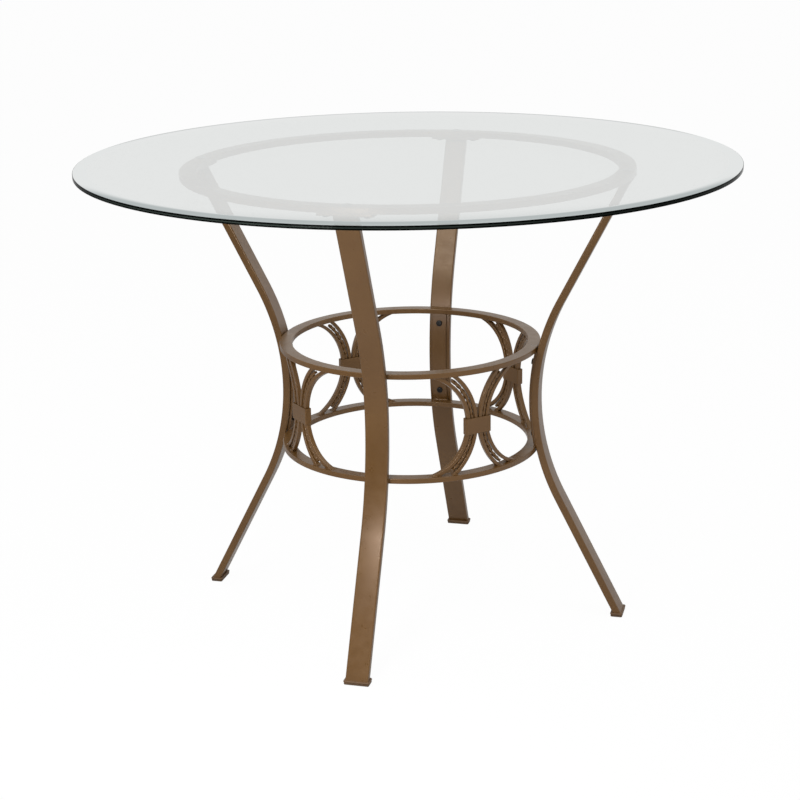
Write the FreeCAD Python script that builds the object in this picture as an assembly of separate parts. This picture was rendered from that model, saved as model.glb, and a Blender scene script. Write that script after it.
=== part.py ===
import FreeCAD, Part
import math
import os
from FreeCAD import Vector

# Round glass dining table on a base of four bent legs, in millimetres.
# The origin is on the floor under the table's centre, +Z is up, and the legs stand on -Y, +X, +Y and -X.

# Glass top
table_height = 762.0
glass_diameter = 1066.8
glass_overhang = 166.4
glass_thickness = 8.0
glass_bevel_width = 22.0
glass_bevel_drop = 1.5
glass_arris = 0.6

# Clear pads that carry the glass
pad_diameter = 15.0
pad_thickness = 2.0

# Top ring, a flat tube under the glass, set in from the glass's rim by the overhang
top_ring_width = 27.0
top_ring_height = 10.0
top_ring_wall = 1.5
top_ring_corner = 1.5

# Legs, flat tubes bent inwards at the waist. The shares are of the table's height
leg_width = 37.0
leg_thickness = 12.0
leg_wall = 1.5
leg_corner = 2.0
leg_bend_share = 0.4803
leg_top_outset = 3.0
waist_diameter = 427.0
waist_height_share = 0.4869
foot_circle_inset = 23.0

# Plates on the leg tops, bolted up into the top ring
plate_length = 86.0
plate_width = 24.0
plate_thickness = 4.0
plate_corner = 4.0
plate_bolt_spacing = 62.0

# Feet
foot_lip_side = 2.5
foot_lip_end = 3.7
foot_flange_thickness = 3.5
foot_corner = 3.0
foot_plug_height = 18.0
foot_plug_clearance = 0.3
glide_thickness = 3.5
glide_inset = 0.6

# Basket rings
basket_ring_spacing = 171.3
basket_ring_width = 20.5
basket_ring_height = 8.5
basket_ring_wall = 1.2
basket_ring_corner = 1.2
basket_leg_clearance = 0.3

# Straps that bolt the basket to the legs
strap_width = 25.0
strap_thickness = 3.5
strap_leg_clearance = 0.4
strap_bolt_offset = 61.5

# Crescents between the basket rings. The shares are of the rings' spacing
inner_bar_radius_share = 0.6363
outer_bar_radius_share = 0.529
crescent_pair_gap = 1.4
crescent_bar_thickness = 5.8
crescent_bar_depth = 7.4
crescent_slot = 7.4
twist_strip_thickness = 4.4
twist_strip_clearance = 0.2
twist_half_pitch = 20.0
twist_steps_per_half_turn = 8
twist_end_gap = 5.0

# Collars round the crescent pairs
collar_height = 26.5
collar_wall = 1.0
collar_clearance = 0.2
collar_drop = 5.0
collar_corner = 1.5

# Bolts and nuts
bolt_diameter = 6.0
bolt_head_diameter = 10.5
bolt_head_height = 3.2
bolt_head_round = 1.2
bolt_socket_width = 4.0
bolt_socket_depth = 1.8
bolt_end_length = 0.5
bolt_hole_clearance = 0.3
nut_width = 10.0
nut_height = 4.0
nut_bore_clearance = 0.1
nut_seat_gap = 0.1

# The legs in turn from +X, and the crescent pairs halfway between them
LEG_SIDES = ("right", "back", "left", "front")
PAIR_CORNERS = ("back_right", "back_left", "front_left", "front_right")
LEG_AZIMUTHS = {side: 360 / len(LEG_SIDES) * k for k, side in enumerate(LEG_SIDES)}
PAIR_AZIMUTHS = {corner: 360 / len(PAIR_CORNERS) * (k + 0.5) for k, corner in enumerate(PAIR_CORNERS)}

# Heights that follow from the stack of pieces
glass_bottom = table_height - glass_thickness
ring_top = glass_bottom - pad_thickness
ring_bottom = ring_top - top_ring_height
leg_top = ring_bottom - plate_thickness
leg_bottom = glide_thickness + foot_flange_thickness
waist_height = table_height * waist_height_share
upper_ring_height = waist_height + basket_ring_spacing / 2
lower_ring_height = waist_height - basket_ring_spacing / 2
basket_floor = lower_ring_height + basket_ring_height / 2
basket_ceiling = upper_ring_height - basket_ring_height / 2
basket_half_opening = (basket_ceiling - basket_floor) / 2

# Radii that follow from the glass and the legs
top_ring_diameter = glass_diameter - 2 * glass_overhang
ring_middle_radius = (top_ring_diameter - top_ring_width) / 2
leg_top_radius = ring_middle_radius + leg_top_outset
foot_radius = (top_ring_diameter - foot_circle_inset) / 2
leg_bend_radius = table_height * leg_bend_share
bend_centre_radius = waist_diameter / 2 + leg_bend_radius

# The crescents' arcs, each with its radius and its place beside the pair's middle at the waist.
# The outer bar bends more than the inner one, so the slot between them widens towards the rings
inner_bar_radius = basket_ring_spacing * inner_bar_radius_share
outer_bar_radius = basket_ring_spacing * outer_bar_radius_share
twist_radius = (inner_bar_radius - crescent_bar_thickness + outer_bar_radius) / 2
inner_bar_place = crescent_pair_gap / 2
twist_place = inner_bar_place + crescent_bar_thickness + crescent_slot / 2
outer_bar_place = twist_place + crescent_slot / 2

# Offsets from the leg's centre line towards the table's axis
strap_outer_offset = leg_thickness / 2 + strap_leg_clearance
strap_inner_offset = strap_outer_offset + strap_thickness
strap_grip = strap_thickness + strap_leg_clearance + leg_wall + nut_seat_gap

ORIGIN = Vector(0, 0, 0)
X_AXIS = Vector(1, 0, 0)
Y_AXIS = Vector(0, 1, 0)
Z_AXIS = Vector(0, 0, 1)


def turned(shape, azimuth):
    """Return a copy of a shape built on +X, turned about the table's axis."""
    copy = shape.copy()
    copy.rotate(ORIGIN, Z_AXIS, azimuth)
    return copy


def mirrored(shape):
    """Return the shape's mirror image on the other side of the plane through +X and +Z."""
    return shape.mirror(ORIGIN, Y_AXIS)


def box(low, high):
    """Return a block between two opposite corners."""
    size = high - low
    return Part.makeBox(size.x, size.y, size.z, low)


def rounded_block(low, high, corner):
    """Return a block whose four upright edges are rounded."""
    block = box(low, high)
    upright = [edge for edge in block.Edges if abs(edge.tangentAt(edge.FirstParameter).z) > 0.5]
    return block.makeFillet(corner, upright)


def hex_prism(width, height):
    """Return a hexagonal prism on the XY plane, measured across its flats."""
    reach = width / math.sqrt(3)
    turns = [k * math.pi / 3 for k in range(7)]
    corners = [Vector(reach * math.cos(turn), reach * math.sin(turn), 0) for turn in turns]
    return Part.Face(Part.makePolygon(corners)).extrude(Z_AXIS * height)


def round_edges(shape, radius):
    """Return the shape with its circular edges rounded."""
    circles = [edge for edge in shape.Edges if edge.Curve.TypeId == "Part::GeomCircle"]
    return shape.makeFillet(radius, circles)


def annulus(inner_radius, outer_radius, low, high):
    """Return a flat-ended ring about the table's axis between two heights."""
    base = Vector(0, 0, low)
    outer = Part.makeCylinder(outer_radius, high - low, base)
    return outer.cut(Part.makeCylinder(inner_radius, high - low, base))


def rolled_tube(middle_radius, middle_height, width, height, wall, corner):
    """Return a flat rectangular tube rolled to a closed ring, with rounded outer edges."""
    inner = middle_radius - width / 2
    outer = middle_radius + width / 2
    low = middle_height - height / 2
    high = middle_height + height / 2
    skin = round_edges(annulus(inner, outer, low, high), corner)
    return skin.cut(annulus(inner + wall, outer - wall, low + wall, high - wall))


def in_leg_plane(x, z):
    """Return a point of the upright plane that a leg bends in."""
    return Vector(x, 0, z)


def on_arc(centre, radius, z):
    """Return a point of an upright arc that bulges to -Y, in the plane of Y and Z."""
    return Vector(0, centre - math.sqrt(radius ** 2 - (z - waist_height) ** 2), z)


def crescent_face(place, radius):
    """Return the side view of a crescent's bar on +Y, cut level at the basket rings.

    The place and the radius are those of its side towards the pair's middle.
    """
    centre = place + radius
    near_radius = radius - crescent_bar_thickness
    near = [on_arc(centre, near_radius, z) for z in (basket_floor, waist_height, basket_ceiling)]
    far = [on_arc(centre, radius, z) for z in (basket_ceiling, waist_height, basket_floor)]
    edges = [
        Part.Arc(*near).toShape(),
        Part.LineSegment(near[-1], far[0]).toShape(),
        Part.Arc(*far).toShape(),
        Part.LineSegment(far[-1], near[0]).toShape(),
    ]
    return Part.Face(Part.Wire(edges))


def lean_towards(radius, height):
    """Return the lean of the straight run from the bend to a leg end, its height taken from the waist."""
    inwards = bend_centre_radius - radius
    return math.atan2(height, inwards) - math.acos(leg_bend_radius / math.hypot(inwards, height))


upper_lean = lean_towards(leg_top_radius, leg_top - waist_height)
lower_lean = lean_towards(foot_radius, waist_height - leg_bottom)


def leg_radius_at(offset, height):
    """Return how far a side of the leg stands from the table's axis at a height.

    The offset is measured from the centre line, towards the table's axis.
    """
    bend = leg_bend_radius + offset
    rise = abs(height - waist_height)
    lean = upper_lean if height > waist_height else lower_lean
    rise_on_bend = min(rise, bend * math.sin(lean))
    radius_on_bend = bend_centre_radius - math.sqrt(bend ** 2 - rise_on_bend ** 2)
    return radius_on_bend + (rise - rise_on_bend) * math.tan(lean)


def leg_side(offset, low, high):
    """Return one long side of the leg as top, upper tangent, waist, lower tangent and bottom points."""
    bend = leg_bend_radius + offset
    upper_tangent = waist_height + bend * math.sin(upper_lean)
    lower_tangent = waist_height - bend * math.sin(lower_lean)
    heights = (high, upper_tangent, waist_height, lower_tangent, low)
    return [in_leg_plane(leg_radius_at(offset, height), height) for height in heights]


def leg_bar(outer_offset, inner_offset, width, low, high):
    """Return a solid bar between two offsets from the leg's centre line, cut level at two heights."""
    outer = leg_side(outer_offset, low, high)
    inner = leg_side(inner_offset, low, high)
    edges = []
    for top, upper, waist, lower, bottom in (outer, inner):
        edges.append(Part.LineSegment(top, upper).toShape())
        edges.append(Part.Arc(upper, waist, lower).toShape())
        edges.append(Part.LineSegment(lower, bottom).toShape())
    edges.append(Part.LineSegment(outer[0], inner[0]).toShape())
    edges.append(Part.LineSegment(outer[-1], inner[-1]).toShape())
    face = Part.Face(Part.Wire(Part.__sortEdges__(edges)))
    face.translate(Y_AXIS * (-width / 2))
    return face.extrude(Y_AXIS * width)


def leg_core(inset):
    """Return a bar inside the leg, this far in from its faces and as long as the leg."""
    half_thickness = leg_thickness / 2 - inset
    return leg_bar(-half_thickness, half_thickness, leg_width - 2 * inset, leg_bottom, leg_top)


def level_slice(low, high):
    """Return a block round the leg on +X between two heights."""
    return box(Vector(0, -leg_width, low), Vector(glass_diameter, leg_width, high))


nearest_leg_radius = min(leg_radius_at(leg_thickness / 2, z) for z in (basket_floor, basket_ceiling))
basket_outer_radius = nearest_leg_radius - basket_leg_clearance
basket_middle_radius = basket_outer_radius - basket_ring_width / 2


def along_leg(edge):
    """Tell whether an edge runs along the leg, at its long corners."""
    flat_in_y = edge.BoundBox.YLength < leg_corner / 2
    return flat_in_y and edge.BoundBox.ZLength > leg_thickness


def at_strap_bolts(shape):
    """Return copies of a shape that points along +X from the origin, one at each strap bolt.

    They stand at the leg on +X, each with its origin on the strap's inner face and square to it.
    """
    tilt_on_bend = math.asin(strap_bolt_offset / (leg_bend_radius + strap_inner_offset))
    copies = []
    for side, lean in ((1, upper_lean), (-1, lower_lean)):
        height = waist_height + side * strap_bolt_offset
        copy = shape.copy()
        copy.rotate(ORIGIN, Y_AXIS, side * math.degrees(min(tilt_on_bend, lean)))
        copy.translate(in_leg_plane(leg_radius_at(strap_inner_offset, height), height))
        copies.append(copy)
    return copies


def at_plate_bolts(shape):
    """Return copies of a shape built on +Z, one at each plate bolt of the leg on +X."""
    copies = []
    for side in (-1, 1):
        copy = shape.copy()
        copy.translate(Vector(ring_middle_radius, side * plate_bolt_spacing / 2, 0))
        copies.append(copy)
    return copies


def round_all_legs(shapes):
    """Return every shape of the leg on +X, repeated at all four legs, as one group."""
    return Part.makeCompound([turned(s, azimuth) for azimuth in LEG_AZIMUTHS.values() for s in shapes])


def pointing_outwards(shape, start_x):
    """Return a shape built on +Z, laid along +X from a starting point on it."""
    copy = shape.copy()
    copy.rotate(ORIGIN, Y_AXIS, 90)
    copy.translate(X_AXIS * start_x)
    return copy


def bolt(shank_length):
    """Return a button-head bolt with a hex socket, its head under the XY plane."""
    head = Part.makeCylinder(bolt_head_diameter / 2, bolt_head_height, Vector(0, 0, -bolt_head_height))
    rim = [edge for edge in head.Edges if edge.BoundBox.ZMax < -bolt_head_height / 2]
    head = head.makeFillet(bolt_head_round, rim)
    socket = hex_prism(bolt_socket_width, bolt_socket_depth)
    socket.translate(Vector(0, 0, -bolt_head_height))
    return head.cut(socket).fuse(Part.makeCylinder(bolt_diameter / 2, shank_length)).removeSplitter()


def nut():
    """Return a hexagon nut standing on the XY plane."""
    bore = Part.makeCylinder(bolt_diameter / 2 + nut_bore_clearance, nut_height)
    return hex_prism(nut_width, nut_height).cut(bore)


def bolt_hole(length):
    """Return the cutter for a bolt hole, from the XY plane upwards."""
    return Part.makeCylinder(bolt_diameter / 2 + bolt_hole_clearance, length)


def strap_holes():
    """Return the cutters for the strap bolts' holes, through the strap and the leg's inner wall on +X."""
    hole = bolt_hole(strap_thickness + strap_grip + leg_wall)
    return Part.makeCompound(at_strap_bolts(pointing_outwards(hole, -strap_thickness)))


def make_glass():
    """Return the glass plate with a wide bevel above and a small arris below."""
    rim = glass_diameter / 2
    outline = [
        Vector(0, 0, glass_bottom),
        Vector(rim - glass_arris, 0, glass_bottom),
        Vector(rim, 0, glass_bottom + glass_arris),
        Vector(rim, 0, table_height - glass_bevel_drop),
        Vector(rim - glass_bevel_width, 0, table_height),
        Vector(0, 0, table_height),
        Vector(0, 0, glass_bottom),
    ]
    return Part.Face(Part.makePolygon(outline)).revolve(ORIGIN, Z_AXIS, 360)


def make_pads():
    """Return the four pads on the top ring, one over each leg."""
    pad = Part.makeCylinder(pad_diameter / 2, pad_thickness, Vector(ring_middle_radius, 0, ring_top))
    return round_all_legs([pad])


def make_top_ring():
    """Return the top ring with the plate bolts' holes through its lower wall."""
    middle = (ring_top + ring_bottom) / 2
    ring = rolled_tube(ring_middle_radius, middle, top_ring_width, top_ring_height,
                       top_ring_wall, top_ring_corner)
    hole = bolt_hole(top_ring_wall)
    hole.translate(Vector(0, 0, ring_bottom))
    return ring.cut(round_all_legs(at_plate_bolts(hole)))


def make_leg():
    """Return the hollow leg on +X, with the strap bolts' holes through its inner wall."""
    bar = leg_core(0)
    bar = bar.makeFillet(leg_corner, [edge for edge in bar.Edges if along_leg(edge)])
    return bar.cut(leg_core(leg_wall)).cut(strap_holes())


def make_plate():
    """Return the plate between the leg on +X and the top ring."""
    low = Vector(ring_middle_radius - plate_width / 2, -plate_length / 2, leg_top)
    high = Vector(ring_middle_radius + plate_width / 2, plate_length / 2, ring_bottom)
    hole = bolt_hole(plate_thickness)
    hole.translate(Vector(0, 0, leg_top))
    return rounded_block(low, high, plate_corner).cut(Part.makeCompound(at_plate_bolts(hole)))


def make_foot_cap():
    """Return the flanged cap of the leg on +X, with its plug inside the tube."""
    reach = leg_thickness / math.cos(lower_lean) / 2 + foot_lip_end
    side = leg_width / 2 + foot_lip_side
    low = Vector(foot_radius - reach, -side, glide_thickness)
    high = Vector(foot_radius + reach, side, leg_bottom)
    plug_slice = level_slice(leg_bottom, leg_bottom + foot_plug_height)
    plug = leg_core(leg_wall + foot_plug_clearance).common(plug_slice)
    return rounded_block(low, high, foot_corner).fuse(plug).removeSplitter()


def make_glide():
    """Return the glide under the foot cap of the leg on +X."""
    reach = leg_thickness / math.cos(lower_lean) / 2 + foot_lip_end - glide_inset
    side = leg_width / 2 + foot_lip_side - glide_inset
    low = Vector(foot_radius - reach, -side, 0)
    high = Vector(foot_radius + reach, side, glide_thickness)
    return rounded_block(low, high, foot_corner - glide_inset / 2)


def make_basket_ring(height):
    """Return one basket ring at its middle height."""
    return rolled_tube(basket_middle_radius, height, basket_ring_width, basket_ring_height,
                       basket_ring_wall, basket_ring_corner)


def make_strap():
    """Return the strap that follows the inner face of the leg on +X, from ring to ring."""
    bar = leg_bar(strap_outer_offset, strap_inner_offset, strap_width, leg_bottom, leg_top)
    return bar.common(level_slice(basket_floor, basket_ceiling)).cut(strap_holes())


def make_crescent_bar(place, radius):
    """Return one bar of the crescent on the +Y side of the pair on +X, bent to the basket's round."""
    face = crescent_face(place, radius)
    inner = basket_middle_radius - crescent_bar_depth / 2
    outer = basket_middle_radius + crescent_bar_depth / 2
    wall = annulus(inner, outer, basket_floor, basket_ceiling)
    return face.extrude(X_AXIS * 2 * outer).common(wall)


def make_twist():
    """Return the twisted strip between the two bars of the crescent on the +Y side of the pair on +X.

    The strip follows the middle of the slot, and its four long corners just clear the bars.
    """
    half_thickness = twist_strip_thickness / 2
    half_width = math.sqrt((crescent_slot / 2 - twist_strip_clearance) ** 2 - half_thickness ** 2)
    reach = math.asin((basket_half_opening - twist_end_gap - half_thickness) / twist_radius)
    half_turns = round(2 * reach * twist_radius / twist_half_pitch)
    steps = half_turns * twist_steps_per_half_turn
    sections = []
    for k in range(steps + 1):
        along = -reach + 2 * reach * k / steps
        turn = math.pi * (0.5 + k / twist_steps_per_half_turn)
        sections.append(twist_section(along, turn, half_width, half_thickness))
    rails = []
    for corner_points in zip(*sections):
        rail = Part.BSplineCurve()
        rail.interpolate(Points=list(corner_points), Parameters=list(range(steps + 1)))
        rails.append(rail)
    sides = [ruled_side(rail, rails[k - 1]) for k, rail in enumerate(rails)]
    ends = [Part.Face(Part.makePolygon(section + section[:1])) for section in (sections[0], sections[-1])]
    skin = Part.Shell(sides + ends)
    skin.sewShape()
    return Part.Solid(skin)


def ruled_side(first, second):
    """Return the face of straight lines between two curves that share their knots."""
    surface = Part.BSplineSurface()
    surface.buildFromPolesMultsKnots(
        [first.getPoles(), second.getPoles()], [2, 2], first.getMultiplicities(),
        [0, 1], first.getKnots(), False, False, 1, first.Degree)
    return surface.toShape()


def twist_section(along, turn, half_width, half_thickness):
    """Return the strip's four corners at one angle along the crescent, turned about the crescent's line."""
    y = twist_place + twist_radius * (1 - math.cos(along))
    z = waist_height + twist_radius * math.sin(along)
    swing = math.asin(y / basket_middle_radius)
    outwards = Vector(math.cos(swing), math.sin(swing), 0)
    sideways = Vector(-math.sin(swing), math.cos(swing), 0)
    across = sideways * math.cos(along) - Z_AXIS * math.sin(along)
    middle = outwards * basket_middle_radius + Z_AXIS * z
    wide = (across * math.cos(turn) + outwards * math.sin(turn)) * half_width
    thin = (outwards * math.cos(turn) - across * math.sin(turn)) * half_thickness
    return [middle + wide + thin, middle - wide + thin, middle - wide - thin, middle + wide - thin]


def make_collar():
    """Return the collar round the crescent pair on +X, a closed band open above and below."""
    middle = waist_height - collar_drop
    belly_radius = outer_bar_radius - crescent_bar_thickness
    far_end = middle - collar_height / 2
    side = on_arc(outer_bar_place + outer_bar_radius, belly_radius, far_end).y + collar_clearance
    inner = basket_middle_radius - crescent_bar_depth / 2
    front = basket_middle_radius + crescent_bar_depth / 2 + collar_clearance
    back = math.sqrt(inner ** 2 - side ** 2) - collar_clearance
    low = Vector(back, -side, middle - collar_height / 2)
    high = Vector(front, side, middle + collar_height / 2)
    skin = Vector(collar_wall, collar_wall, 0)
    return rounded_block(low - skin, high + skin, collar_corner).cut(box(low, high))


def make_strap_bolts():
    """Return the bolts that hold the straps to all four legs."""
    fastener = bolt(strap_grip + nut_height + bolt_end_length)
    return round_all_legs(at_strap_bolts(pointing_outwards(fastener, 0)))


def make_strap_nuts():
    """Return the nuts inside the legs for the strap bolts."""
    return round_all_legs(at_strap_bolts(pointing_outwards(nut(), strap_grip)))


def make_plate_bolts():
    """Return the bolts that hold the leg plates to the top ring."""
    fastener = bolt(plate_thickness + top_ring_wall + nut_height + bolt_end_length)
    fastener.translate(Vector(0, 0, leg_top))
    return round_all_legs(at_plate_bolts(fastener))


def make_plate_nuts():
    """Return the nuts inside the top ring for the plate bolts."""
    fastener = nut()
    fastener.translate(Vector(0, 0, ring_bottom + top_ring_wall))
    return round_all_legs(at_plate_bolts(fastener))


def build_table():
    """Return every piece of the table by name."""
    pieces = {
        "glass_top": make_glass(),
        "glass_pads": make_pads(),
        "top_ring": make_top_ring(),
        "upper_basket_ring": make_basket_ring(upper_ring_height),
        "lower_basket_ring": make_basket_ring(lower_ring_height),
        "strap_bolts": make_strap_bolts(),
        "strap_nuts": make_strap_nuts(),
        "plate_bolts": make_plate_bolts(),
        "plate_nuts": make_plate_nuts(),
    }
    at_each_leg = {
        "leg": make_leg(),
        "leg_plate": make_plate(),
        "foot_cap": make_foot_cap(),
        "foot_glide": make_glide(),
        "strap": make_strap(),
    }
    for side, azimuth in LEG_AZIMUTHS.items():
        for name, shape in at_each_leg.items():
            pieces[f"{name}_{side}"] = turned(shape, azimuth)
    right_crescent = {
        "inner_bar": make_crescent_bar(inner_bar_place, inner_bar_radius),
        "outer_bar": make_crescent_bar(outer_bar_place, outer_bar_radius),
        "twist": make_twist(),
    }
    collar = make_collar()
    for corner, azimuth in PAIR_AZIMUTHS.items():
        pieces[f"{corner}_collar"] = turned(collar, azimuth)
        for name, shape in right_crescent.items():
            pieces[f"{corner}_crescent_a_{name}"] = turned(mirrored(shape), azimuth)
            pieces[f"{corner}_crescent_b_{name}"] = turned(shape, azimuth)
    return pieces


def main():
    """Write each piece to a file of its own."""
    os.makedirs("parts", exist_ok=True)
    for name, shape in build_table().items():
        shape.exportStep(f"parts/{name}.step")


main()
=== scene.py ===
"""Round dining table: a bevelled clear glass top on a bronze metal base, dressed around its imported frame.

Sizes are in millimetres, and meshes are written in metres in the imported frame. The origin is on the floor
under the middle of the table, +Z is up, the front leg stands on -Y and the right leg on +X.
"""

import logging
import math
from dataclasses import dataclass, replace
from enum import Enum
from functools import cache
from typing import Sequence

import bmesh
import bpy
import numpy as np
from mathutils import Matrix, Vector
from numpy.typing import NDArray


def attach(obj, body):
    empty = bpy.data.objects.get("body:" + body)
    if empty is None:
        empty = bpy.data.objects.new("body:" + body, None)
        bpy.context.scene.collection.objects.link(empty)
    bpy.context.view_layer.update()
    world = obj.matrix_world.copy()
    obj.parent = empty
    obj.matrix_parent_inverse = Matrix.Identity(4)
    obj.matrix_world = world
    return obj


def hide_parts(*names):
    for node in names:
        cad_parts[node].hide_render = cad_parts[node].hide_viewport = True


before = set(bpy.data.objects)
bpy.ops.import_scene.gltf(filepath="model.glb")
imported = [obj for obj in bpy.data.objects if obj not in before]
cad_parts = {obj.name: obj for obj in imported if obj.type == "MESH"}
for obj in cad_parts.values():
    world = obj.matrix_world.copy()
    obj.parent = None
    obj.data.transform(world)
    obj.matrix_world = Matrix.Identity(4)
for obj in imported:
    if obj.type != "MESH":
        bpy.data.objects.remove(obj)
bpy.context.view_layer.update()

Points = NDArray[np.float64]
Indices = NDArray[np.int64]
Pair = tuple[float, float]
Triple = tuple[float, float, float]
Socket = bpy.types.NodeSocket

MM = 0.001
LOG = logging.getLogger("table")
X_AXIS, Y_AXIS, Z_AXIS = np.eye(3)

SHARP_ANGLE = math.radians(38.0)
CORNER_STEPS = 5
SMALL_CORNER_STEPS = 3
SMALLEST_CORNER = 0.2
EDGE_ROWS = 5
CROWN_STEPS = 10
LEVEL_TOLERANCE = 1e-6
BEAD_ROWS = 33
BEAD_COLUMNS = 14
BEAD_END = 0.49 * np.pi
BEAD_RIPPLE = 0.07

NOISE_DETAIL = 3.0
NOISE_ROUGHNESS = 0.55
NOISE_RAMP = (0.3, 0.7)
MIX_FIRST, MIX_SECOND, MIX_RESULT = 6, 7, 2
WHITE = (1.0, 1.0, 1.0)
BLACK = (0.0, 0.0, 0.0)


class Body(Enum):
    """Bodies of the frame that pieces ride on."""

    BASE = "base"
    GLASS = "glass"


class Slot(Enum):
    """Material slots of the record."""

    GLASS = "clear_glass"
    PAD = "clear_pad"
    BRONZE = "bronze_frame"
    BOLT = "black_bolt"
    NUT = "zinc_nut"
    FOOT = "brown_foot"
    GLIDE = "brown_glide"


class Place(Enum):
    """Places round the table, each with the direction that it stands in, in degrees from +X."""

    @property
    def word(self) -> str:
        """Return the place's name as it stands in the nodes' names."""
        return self.name.lower()


class Side(Place):
    """Places of the legs."""

    RIGHT = 0.0
    BACK = 90.0
    LEFT = 180.0
    FRONT = 270.0


class Corner(Place):
    """Places of the crescent pairs."""

    BACK_RIGHT = 45.0
    BACK_LEFT = 135.0
    FRONT_LEFT = 225.0
    FRONT_RIGHT = 315.0


class Tone(Enum):
    """Finishes of the glass plate's faces, in the order of its material slots."""

    FACE = 0
    BEVEL = 1
    EDGE = 2
    UNDER = 3


# Surfaces worked out as whole arrays


@dataclass
class Skin:
    """A surface as arrays: its points, and its faces' point numbers, corner counts and finish numbers."""

    points: Points
    corners: Indices
    sizes: Indices
    tones: Indices

    def turned(self, degrees: float) -> "Skin":
        """Return the surface turned about the table's axis, from +X towards +Y."""
        turn = np.array(Matrix.Rotation(math.radians(degrees), 3, "Z"))
        return replace(self, points=self.points @ turn.T)

    def mirrored(self) -> "Skin":
        """Return the surface's mirror image across the plane of X and Z."""
        return replace(self, points=self.points * (1 - 2 * Y_AXIS))

    def moved(self, offset: Sequence[float]) -> "Skin":
        """Return the surface moved by an offset in millimetres."""
        return replace(self, points=self.points + np.array(offset))

    def placed(self, origin: Points, x_axis: Points, y_axis: Points, z_axis: Points) -> "Skin":
        """Return the surface with its own origin and axes carried to a point and three directions."""
        return replace(self, points=self.points @ np.stack([x_axis, y_axis, z_axis]) + origin)


def joined(skins: Sequence[Skin]) -> Skin:
    """Return several surfaces as one, with their point numbers shifted to follow each other."""
    shifts = np.cumsum([0] + [len(skin.points) for skin in skins[:-1]])
    return Skin(
        np.concatenate([skin.points for skin in skins]),
        np.concatenate([skin.corners + shift for skin, shift in zip(skins, shifts)]),
        np.concatenate([skin.sizes for skin in skins]),
        np.concatenate([skin.tones for skin in skins]),
    )


def at_every_leg(skin: Skin) -> Skin:
    """Return a surface at the leg on +X repeated at all four legs."""
    return joined([skin.turned(side.value) for side in Side])


def rolled(grid: Points, loop: bool = False, row_tones: Sequence[int] | None = None) -> Skin:
    """Return the closed surface of a grid whose columns run round and whose rows run along.

    Face (i, j) joins points (i, j), (i, j+1), (i+1, j+1) and (i+1, j), with j wrapping round. An open row
    direction is closed by one flat face over each end ring.

    Args:
        grid: Points by row and column, shape (rows, columns, 3).
        loop: Whether the last row joins the first.
        row_tones: Finish number of each band of faces between two rows. The end faces take their neighbours'.

    Returns:
        The surface.
    """
    rows, columns = grid.shape[:2]
    number = np.arange(rows * columns).reshape(rows, columns)
    here = number if loop else number[:-1]
    ahead = np.roll(number, -1, axis=0) if loop else number[1:]
    quads = np.stack([here, np.roll(here, -1, axis=1), np.roll(ahead, -1, axis=1), ahead], axis=-1)
    bands = np.zeros(len(here), int) if row_tones is None else np.array(row_tones)
    corners, sizes, tones = quads.ravel(), np.full(here.size, 4), np.repeat(bands, columns)
    if not loop:
        corners = np.concatenate([corners, number[0][::-1], number[-1]])
        sizes = np.concatenate([sizes, [columns, columns]])
        tones = np.concatenate([tones, bands[:1], bands[-1:]])
    return Skin(grid.reshape(-1, 3), corners, sizes, tones)


def whole_turn(segments: int) -> Points:
    """Return evenly spaced angles round a whole turn, in radians."""
    return np.linspace(0.0, 2 * np.pi, segments, endpoint=False)


def spokes(angles: Points | float) -> Points:
    """Return level unit vectors at angles from +X: (cos a, sin a, 0)."""
    return np.stack([np.cos(angles), np.sin(angles), np.zeros_like(angles)], axis=-1)


def corner_angles(steps: int = CORNER_STEPS) -> Points:
    """Return the outward directions at a rounded outline's points, in radians, one row for each corner."""
    quarter = np.linspace(0.0, np.pi / 2, steps + 1)
    return np.pad(quarter, 1, mode="edge") + np.arange(4)[:, None] * np.pi / 2


def rounded_outline(width: float, depth: float, corner: float, steps: int = CORNER_STEPS) -> Points:
    """Return a rectangle with round corners as a closed line of points.

    Each corner is a quarter circle, with one point on the flat beside each of its ends, so that shading stays
    flat between the corners.

    Args:
        width: Size along the first axis.
        depth: Size along the second axis.
        corner: Radius of the corners.
        steps: Parts that each quarter circle is divided into.

    Returns:
        The points, shape (4 * (steps + 3), 2).
    """
    angles = corner_angles(steps)
    flats = np.array([width / 2 - corner, depth / 2 - corner])
    slide = np.zeros(steps + 3)
    slide[-1] = min(corner, *flats) / 2
    slide[0] = -slide[-1]
    centres = flats * np.array([[1, 1], [-1, 1], [-1, -1], [1, -1]])
    arcs = corner * spokes(angles) + slide[:, None] * spokes(angles + np.pi / 2)
    return (centres[:, None, :] + arcs[..., :2]).reshape(-1, 2)


def crowned(outline: Points, width: float, crown: float) -> Points:
    """Return an outline whose outer wide side bulges, with points added across that side.

    The outer side is the one with second coordinates below zero. A point at x on it moves out by
    crown * (1 - (2 x / width)^2).

    Args:
        outline: Closed line of points with the wide sides along the first axis.
        width: Size along the first axis.
        crown: Rise of the bulge's middle.

    Returns:
        The line of points with the bulge.
    """
    gap = 3 * len(outline) // 4
    start, end = outline[gap - 1], outline[gap]
    filled = np.linspace(start, end, CROWN_STEPS + 1)[1:-1]
    points = np.concatenate([outline[:gap], filled, outline[gap:]])
    bulge = crown * np.clip(1 - (2 * points[:, 0] / width) ** 2, 0.0, 1.0)
    points[:, 1] -= np.where(points[:, 1] < start[1] + LEVEL_TOLERANCE, bulge, 0.0)
    return points


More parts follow.
